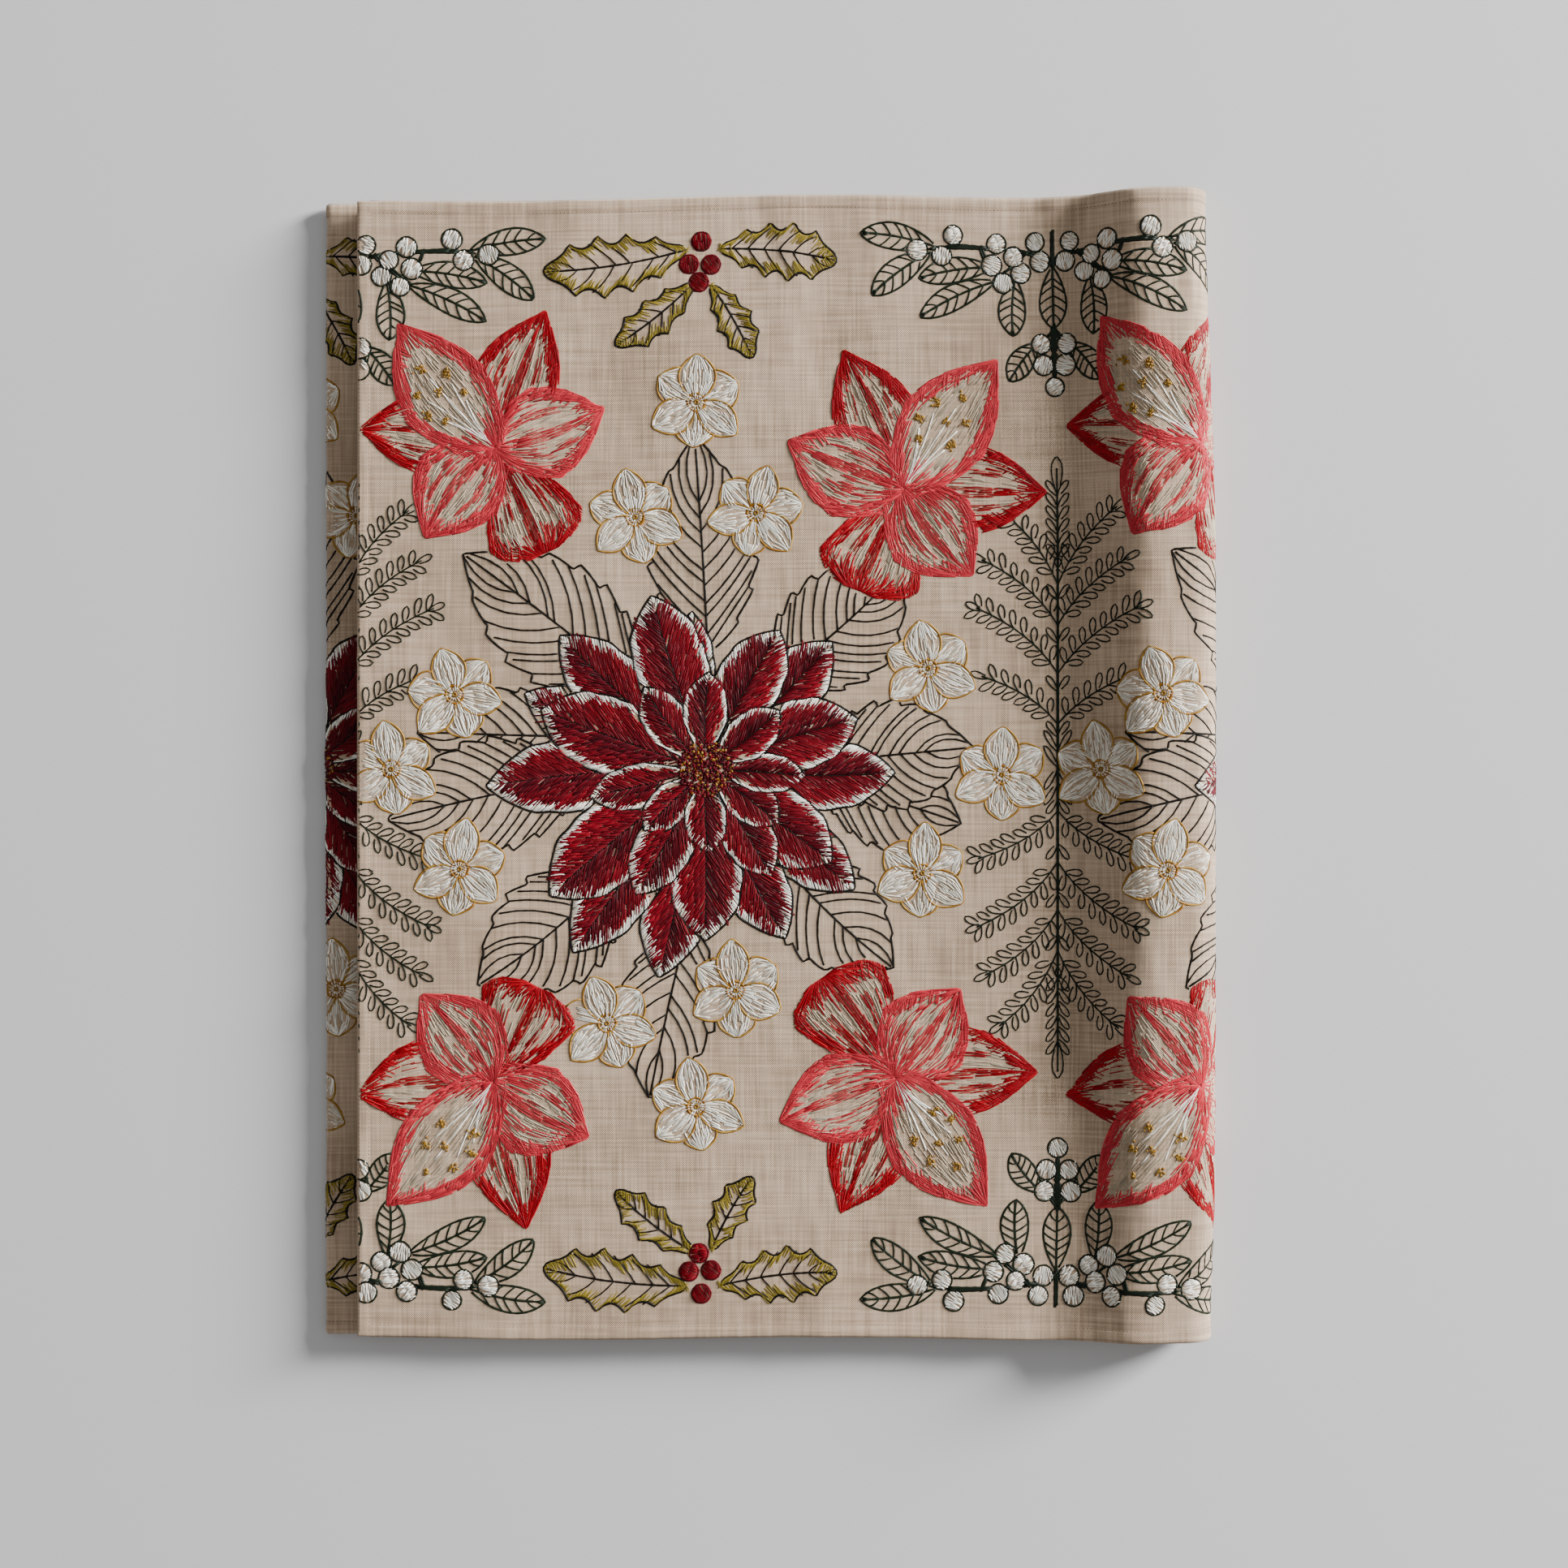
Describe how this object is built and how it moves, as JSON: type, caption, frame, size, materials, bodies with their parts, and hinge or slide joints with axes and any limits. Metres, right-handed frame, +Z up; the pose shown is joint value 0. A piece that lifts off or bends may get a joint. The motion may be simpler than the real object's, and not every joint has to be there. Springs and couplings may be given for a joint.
{
  "type": "table runner",
  "caption": "Long linen table runner with embroidered winter flowers and stitched hems, folded in half twice with a soft rounded fold, and opening like a book.",
  "frame": {"origin": "middle of the folded runner's footprint, on the surface that it lies on", "axes": "+X across the folds, from the centre fold to the puffed outer fold, +Y along the folds, across the cloth's width, +Z up"},
  "size_m": [0.3515, 0.45, 0.0221],
  "materials": {
    "linen": "plain-woven flax-coloured linen with slubs, matt",
    "hem_linen": "the same linen, turned in on the wrong side, matt",
    "sewing_thread": "flax-coloured sewing thread, soft sheen",
    "crimson_thread": "stranded embroidery thread, satin",
    "scarlet_thread": "stranded embroidery thread, satin",
    "ivory_thread": "stranded embroidery thread, satin",
    "olive_thread": "stranded embroidery thread, satin",
    "dark_green_thread": "stranded embroidery thread, satin",
    "pale_green_thread": "stranded embroidery thread, satin",
    "ink_thread": "near-black outline embroidery thread, satin",
    "coral_thread": "stranded embroidery thread, satin",
    "gold_thread": "stranded embroidery thread, satin"
  },
  "bodies": {
    "lower_half": {"bottom_panel": "linen", "bottom_side_hem_far": "hem_linen", "bottom_side_hem_near": "hem_linen", "centre_fold": "linen", "inner_bottom_panel": "linen", "inner_bottom_side_hem_far": "hem_linen", "inner_bottom_side_hem_near": "hem_linen", "inner_fir_spray_far": "dark_green_thread", "inner_fir_spray_near": "dark_green_thread", "inner_fold": "linen", "inner_half_poinsettia": "crimson_thread", "inner_mistletoe_far": "pale_green_thread", "inner_mistletoe_near": "pale_green_thread", "inner_poinsettia": "crimson_thread", "outer_fold": "linen"},
    "upper_half": {"amaryllis_far_left": "scarlet_thread", "amaryllis_far_right": "scarlet_thread", "amaryllis_near_left": "scarlet_thread", "amaryllis_near_right": "scarlet_thread", "end_fir_spray_far": "dark_green_thread", "end_fir_spray_near": "dark_green_thread", "end_mistletoe_far": "pale_green_thread", "end_mistletoe_near": "pale_green_thread", "end_stitching_inner": "sewing_thread", "end_stitching_outer": "sewing_thread", "fir_spray_far": "dark_green_thread", "fir_spray_near": "dark_green_thread", "holly_far": "olive_thread", "holly_near": "olive_thread", "inner_end_hem": "hem_linen", "inner_top_panel": "linen", "inner_top_side_hem_far": "hem_linen", "inner_top_side_hem_near": "hem_linen", "last_fir_spray_far": "dark_green_thread", "last_fir_spray_near": "dark_green_thread", "last_mistletoe_far": "pale_green_thread", "last_mistletoe_near": "pale_green_thread", "last_poinsettia": "crimson_thread", "mistletoe_far": "pale_green_thread", "mistletoe_near": "pale_green_thread", "narcissus_01": "ivory_thread", "narcissus_02": "ivory_thread", "narcissus_03": "ivory_thread", "narcissus_04": "ivory_thread", "narcissus_05": "ivory_thread", "narcissus_06": "ivory_thread", "narcissus_07": "ivory_thread", "narcissus_08": "ivory_thread", "narcissus_09": "ivory_thread", "narcissus_10": "ivory_thread", "narcissus_11": "ivory_thread", "narcissus_12": "ivory_thread", "poinsettia": "crimson_thread", "side_stitching_far": "sewing_thread", "side_stitching_near": "sewing_thread", "top_end_hem": "hem_linen", "top_panel": "linen", "top_side_hem_far": "hem_linen", "top_side_hem_near": "hem_linen"}
  },
  "joints": [
    {"name": "book_opening", "type": "hinge", "parent": "lower_half", "child": "upper_half", "pos_m": [0.16482, 0, 0.011], "axis": [0, 1, 0], "range_deg": [0, 182], "deforming": ["outer_fold", "inner_fold"]}
  ]
}
